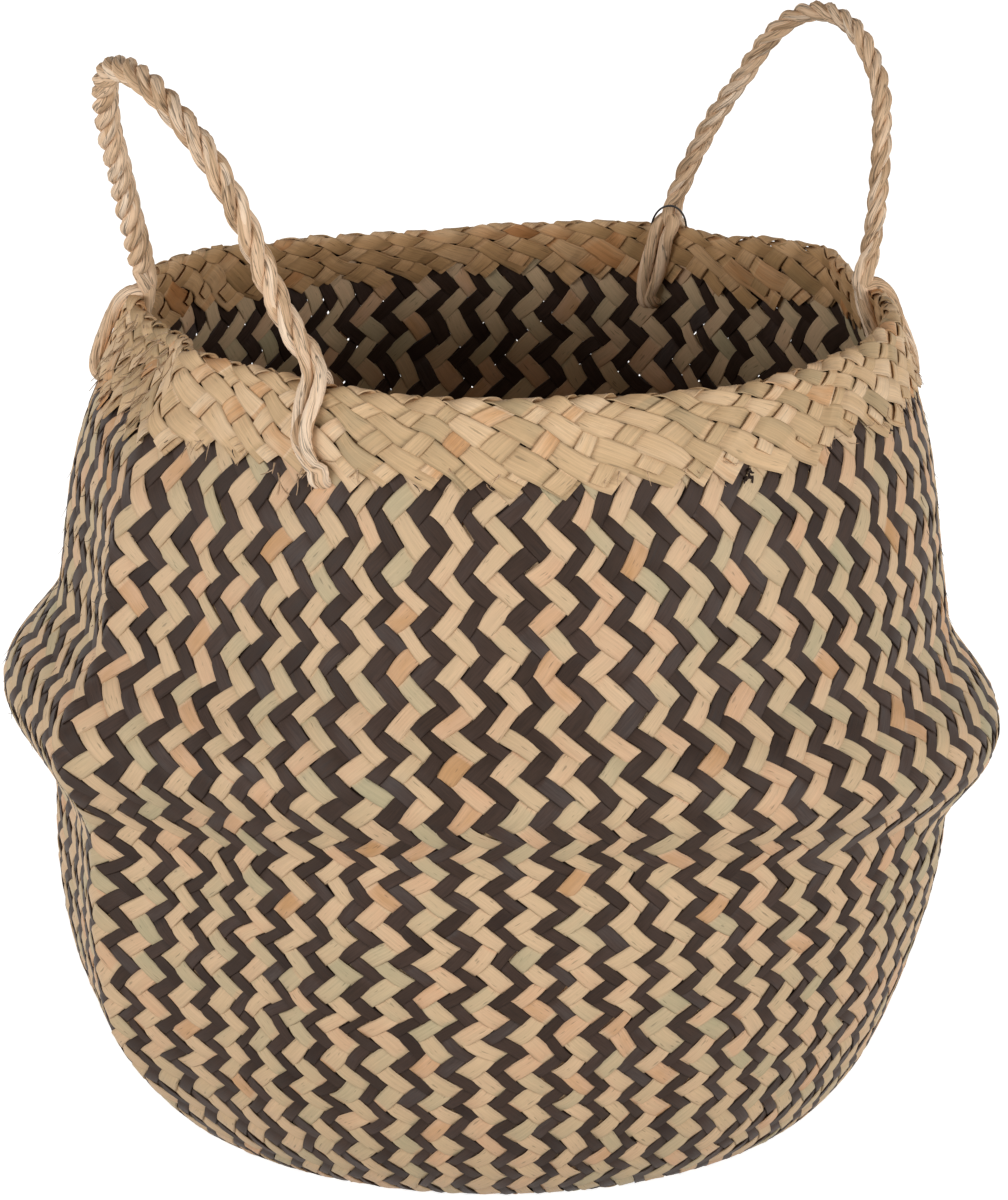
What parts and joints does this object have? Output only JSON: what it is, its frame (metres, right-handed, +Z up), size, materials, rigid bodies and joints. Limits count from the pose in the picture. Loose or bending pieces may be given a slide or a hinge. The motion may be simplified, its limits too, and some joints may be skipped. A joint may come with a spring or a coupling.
{
  "type": "belly basket",
  "caption": "Round woven basket with a folded belly, a wide open mouth, a plaited border and a twisted rope handle on each side.",
  "frame": {"origin": "centre of the flat base, on the face that rests on the floor", "axes": "+Z up through the mouth, -Y towards the front, +X to the right; the handles are at the left and right"},
  "size_m": [0.419, 0.4056, 0.4667],
  "materials": {
    "two_tone_plait": "matte",
    "natural_plait": "matte",
    "seagrass_rope": "matte",
    "dark_thread": "matte"
  },
  "bodies": {
    "bowl": {"woven_bowl": "two_tone_plait", "belly_fold": "two_tone_plait"},
    "upper": {"upper_wall": "two_tone_plait", "rim_border": "natural_plait", "left_front_loop_a": "seagrass_rope", "left_front_loop_b": "seagrass_rope", "left_back_loop_a": "seagrass_rope", "left_back_loop_b": "seagrass_rope", "right_front_loop_a": "seagrass_rope", "right_front_loop_b": "seagrass_rope", "right_back_loop_a": "seagrass_rope", "right_back_loop_b": "seagrass_rope", "thread_ring": "dark_thread"},
    "left_handle": {"left_handle_rope": "seagrass_rope"},
    "right_handle": {"right_handle_rope": "seagrass_rope"}
  },
  "joints": [
    {"name": "belly_unfold", "type": "slide", "parent": "bowl", "child": "upper", "axis": [0, 0, 1], "range_m": [0, 0.04], "deforming": ["belly_fold"]},
    {"name": "left_handle_swing", "type": "hinge", "parent": "upper", "child": "left_handle", "pos_m": [-0.07134, -0.13773, 0.3527], "axis": [0.4285, -0.9036, 0], "range_deg": [-87, 45]},
    {"name": "right_handle_swing", "type": "hinge", "parent": "upper", "child": "right_handle", "pos_m": [0.15535, 0.02923, 0.3527], "axis": [-0.5818, 0.8133, 0], "range_deg": [-76, 56]}
  ]
}
